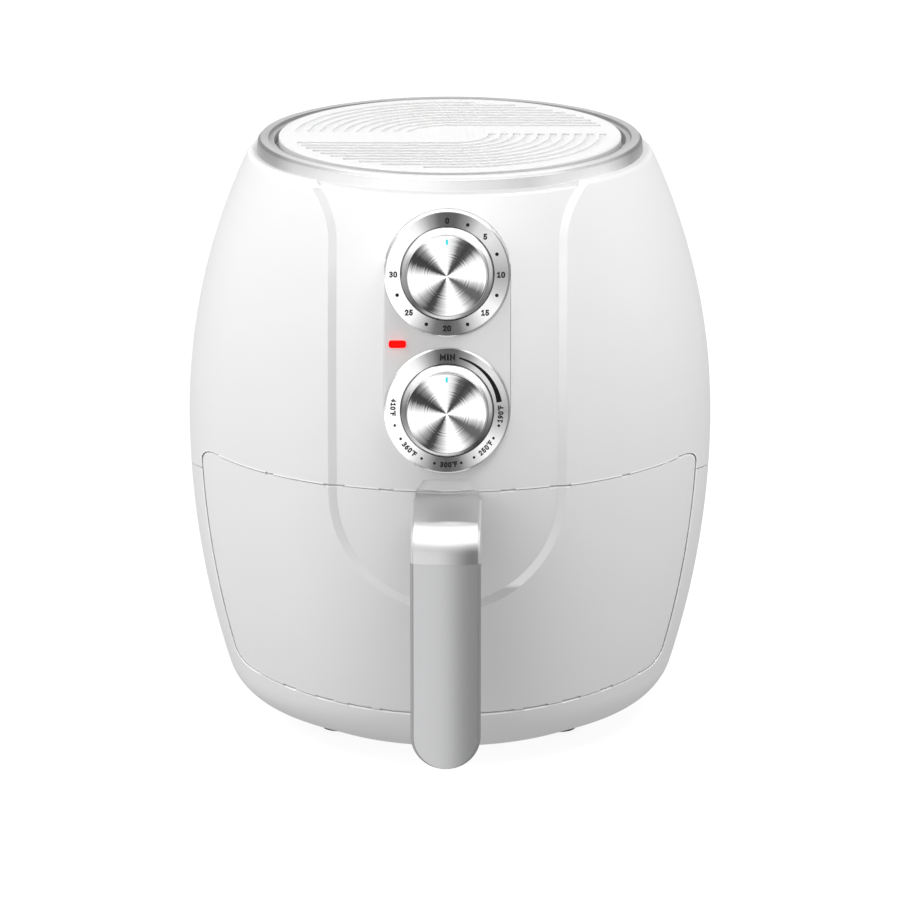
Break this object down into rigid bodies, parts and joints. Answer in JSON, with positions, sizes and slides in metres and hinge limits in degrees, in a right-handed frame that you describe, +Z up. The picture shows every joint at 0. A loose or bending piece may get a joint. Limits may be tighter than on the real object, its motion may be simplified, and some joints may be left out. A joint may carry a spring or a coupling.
{
  "type": "hot-air fryer",
  "caption": "Round counter-top hot-air fryer with a slide-out basket drawer and hooked handle, two clockwork dials on a raised pad, and a ribbed lid in a silver ring.",
  "frame": {"origin": "on the surface it stands on, under the middle of the whole outline, handle included", "axes": "+Z up, -Y to the front (the drawer opens that way), +X to the right seen from the front"},
  "size_m": [0.2705, 0.3294, 0.3058],
  "materials": {
    "white_plastic": "glossy white moulding",
    "inner_plastic": "dark heat-resistant plastic",
    "rubber": "matt black rubber",
    "silver_trim": "satin silver",
    "dial_silver": "silver plated plastic",
    "spun_metal": "spun, circular grain",
    "red_lens": "translucent red",
    "lamp_glass": "neon lamp glass",
    "sheet_steel": "galvanised sheet",
    "steel": "zinc plated",
    "bushing_bronze": "sintered bronze",
    "heater_tube": "heat-tinted tube",
    "core_iron": "lamination stack",
    "copper": "enamelled copper winding",
    "fan_metal": "pressed sheet",
    "ceramic_white": "matt ceramic",
    "non_stick": "dark non-stick coating"
  },
  "bodies": {
    "housing": {"upper_housing": "white_plastic", "lower_housing": "white_plastic", "bottom_plate": "inner_plastic", "base_screws": "steel", "rubber_feet": "rubber", "exhaust_grille": "inner_plastic", "cord_gland": "inner_plastic", "top_ring": "silver_trim", "top_lid": "white_plastic", "control_panel": "white_plastic", "timer_bezel": "dial_silver", "temperature_bezel": "dial_silver", "indicator_lens": "red_lens", "indicator_lamp": "lamp_glass", "control_bracket": "sheet_steel", "control_screws": "steel", "timer_unit": "inner_plastic", "timer_bell": "sheet_steel", "thermostat_unit": "ceramic_white", "chamber_liner": "sheet_steel", "guide_rails": "sheet_steel", "heat_shield": "sheet_steel", "exhaust_duct": "sheet_steel", "heating_element": "heater_tube", "element_clips": "sheet_steel", "heater_guard": "steel", "thermal_fuse": "sheet_steel", "motor_bracket": "sheet_steel", "motor_core": "core_iron", "motor_coil": "copper", "motor_strap": "sheet_steel", "bearing_bushes": "bushing_bronze", "interlock_switch": "inner_plastic", "terminal_block": "ceramic_white"},
    "drawer": {"drawer_front": "white_plastic", "drawer_inner_panel": "inner_plastic", "drawer_screws": "steel", "handle_screws": "steel", "fry_basket": "non_stick", "basket_bracket": "sheet_steel", "bracket_screws": "steel", "interlock_striker": "inner_plastic", "handle_body": "white_plastic", "handle_front_plate": "silver_trim", "handle_top_plate": "silver_trim"},
    "crisper": {"crisper_tray": "non_stick", "tray_feet": "rubber"},
    "timer_dial": {"timer_knob": "dial_silver", "timer_knob_cap": "spun_metal", "timer_shaft": "steel"},
    "temperature_dial": {"temperature_knob": "dial_silver", "temperature_knob_cap": "spun_metal", "thermostat_shaft": "steel"},
    "fan_rotor": {"motor_shaft": "steel", "motor_rotor": "core_iron", "hot_air_fan": "fan_metal", "cooling_fan": "fan_metal", "fan_nut": "steel"},
    "plunger": {"switch_plunger": "inner_plastic"}
  },
  "joints": [
    {"name": "drawer_slide", "type": "slide", "parent": "housing", "child": "drawer", "axis": [0, -1, 0], "range_m": [0, 0.25]},
    {"name": "crisper_tray_lift", "type": "slide", "parent": "drawer", "child": "crisper", "axis": [0, 0, 1], "range_m": [0, 0.1]},
    {"name": "timer_turn", "type": "hinge", "parent": "housing", "child": "timer_dial", "pos_m": [0, -0.09157, 0.26161], "axis": [0, 0.9885, -0.1513], "range_deg": [0, 270]},
    {"name": "temperature_turn", "type": "hinge", "parent": "housing", "child": "temperature_dial", "pos_m": [0, -0.10183, 0.19459], "axis": [0, 0.9885, -0.1513], "range_deg": [0, 270]},
    {"name": "fan_spin", "type": "hinge", "parent": "housing", "child": "fan_rotor", "pos_m": [0, 0.0295, 0.2], "axis": [0, 0, 1], "continuous": true},
    {"name": "interlock_press", "type": "slide", "parent": "housing", "child": "plunger", "axis": [0, 1, 0], "range_m": [0, 0.0012], "stiffness_N_per_m": 300, "springref_m": -0.003}
  ]
}
